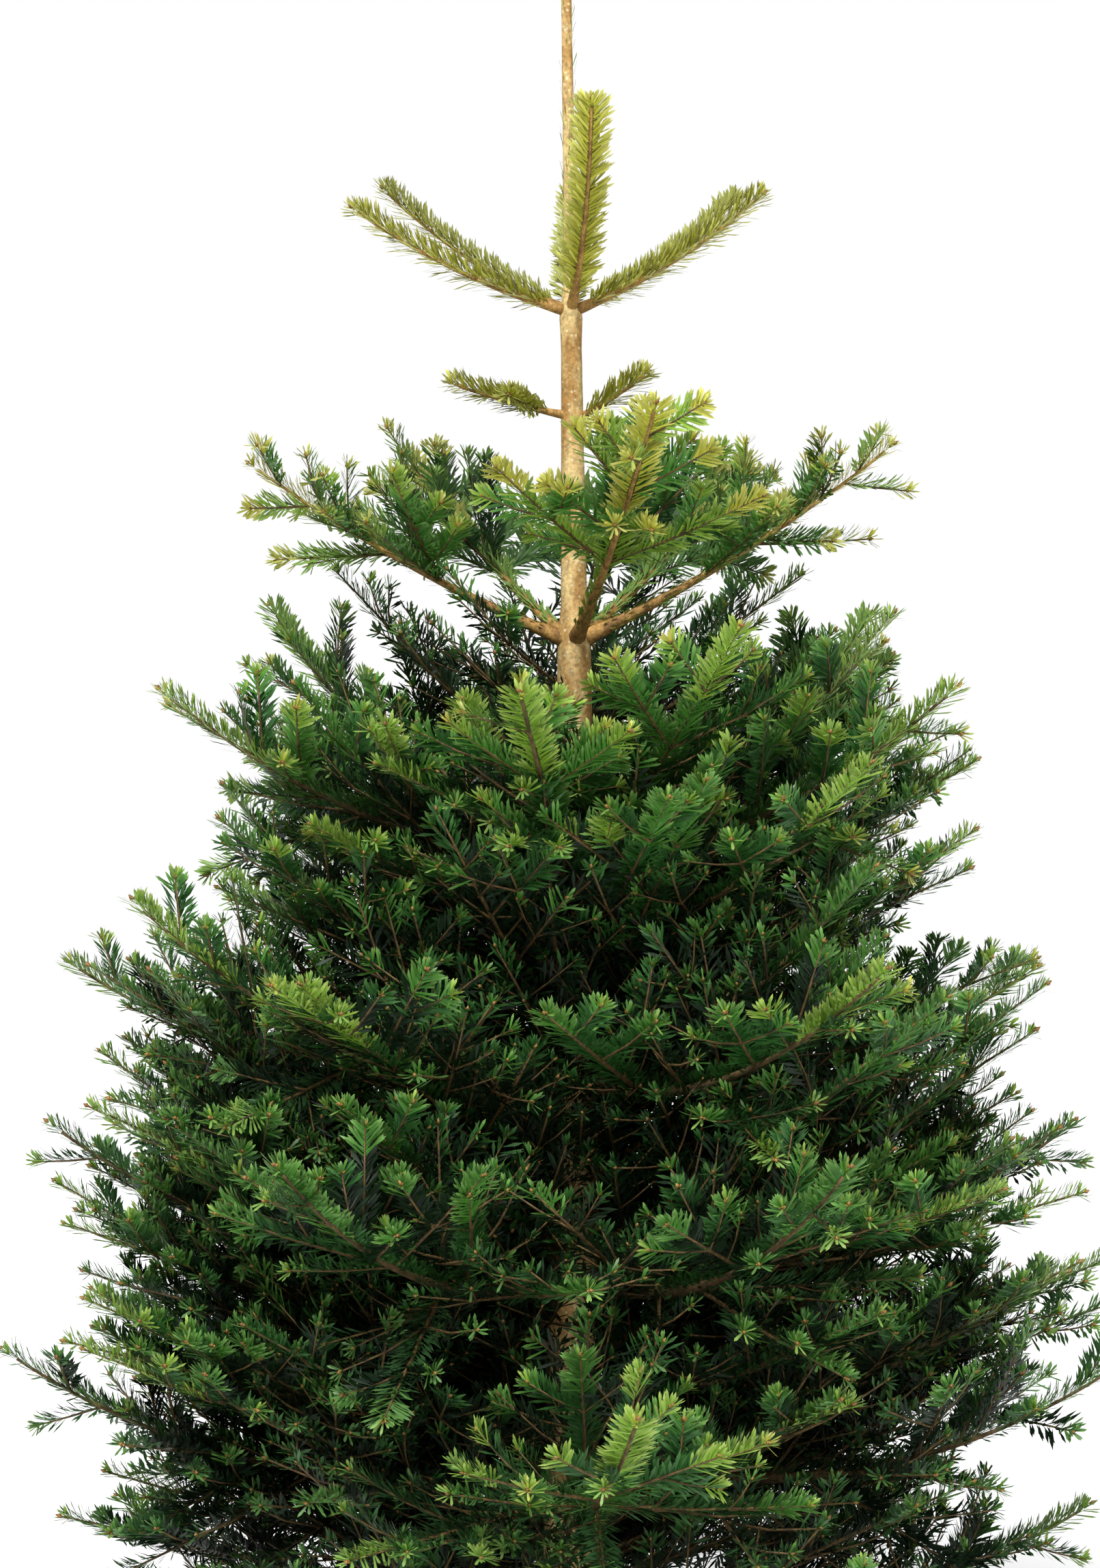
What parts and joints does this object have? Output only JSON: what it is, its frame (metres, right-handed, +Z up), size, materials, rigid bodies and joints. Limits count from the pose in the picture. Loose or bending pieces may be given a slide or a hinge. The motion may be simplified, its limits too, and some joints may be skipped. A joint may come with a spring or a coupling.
{
  "type": "christmas tree",
  "caption": "Cut fir for Christmas: straight tapering trunk, whorls of upswept boughs with flat needled twigs, a long bare leader, and a plain crossed-board stand.",
  "frame": {"origin": "middle of the stand's flat underside, below the trunk", "axes": "+Z up along the trunk, -Y the front of the tree, +X to the right seen from the front"},
  "size_m": [0.9468, 0.9829, 1.62],
  "materials": {
    "bark": "mottled matt bark",
    "bough_bark": "matt young bark",
    "needles": "satin leaf",
    "fresh_needles": "satin leaf",
    "sawn_wood": "matt planed softwood"
  },
  "bodies": {
    "root": {"trunk": "bark", "stand_board_lower": "sawn_wood", "stand_board_upper": "sawn_wood", "stand_brace_1": "sawn_wood", "stand_brace_2": "sawn_wood", "stand_brace_3": "sawn_wood", "stand_brace_4": "sawn_wood", "bough_tier2_1": "bough_bark", "bough_tier2_2": "bough_bark", "bough_tier2_3": "bough_bark", "bough_tier2_4": "bough_bark", "bough_tier2_5": "bough_bark", "bough_tier3_1": "bough_bark", "bough_tier3_2": "bough_bark", "bough_tier3_3": "bough_bark", "bough_tier3_4": "bough_bark", "bough_tier3_5": "bough_bark", "bough_tier4_1": "bough_bark", "bough_tier4_2": "bough_bark", "bough_tier4_3": "bough_bark", "bough_tier4_4": "bough_bark", "bough_tier4_5": "bough_bark", "top_shoot_1": "fresh_needles", "top_shoot_2": "fresh_needles", "top_shoot_3": "fresh_needles", "top_shoot_4": "fresh_needles", "top_shoot_5": "fresh_needles", "top_shoot_6": "fresh_needles", "foliage_tier2_1": "fresh_needles", "foliage_tier2_2": "fresh_needles", "foliage_tier2_3": "fresh_needles", "foliage_tier2_4": "fresh_needles", "foliage_tier2_5": "fresh_needles", "foliage_tier3_1": "needles", "foliage_tier3_2": "needles", "foliage_tier3_3": "needles", "foliage_tier3_4": "needles", "foliage_tier3_5": "needles", "foliage_tier4_1": "needles", "foliage_tier4_2": "needles", "foliage_tier4_3": "needles", "foliage_tier4_4": "needles", "foliage_tier4_5": "needles", "foliage_tier5_1": "needles", "foliage_tier5_2": "needles", "foliage_tier5_3": "needles", "foliage_tier5_4": "needles", "foliage_tier5_5": "needles", "foliage_tier6_1": "needles", "foliage_tier6_2": "needles", "foliage_tier6_3": "needles", "foliage_tier6_4": "needles", "foliage_tier6_5": "needles", "foliage_tier7_1": "needles", "foliage_tier7_2": "needles", "foliage_tier7_3": "needles", "foliage_tier7_4": "needles", "foliage_tier7_5": "needles", "side_twig_left": "fresh_needles", "side_twig_right": "fresh_needles"}
  },
  "joints": []
}
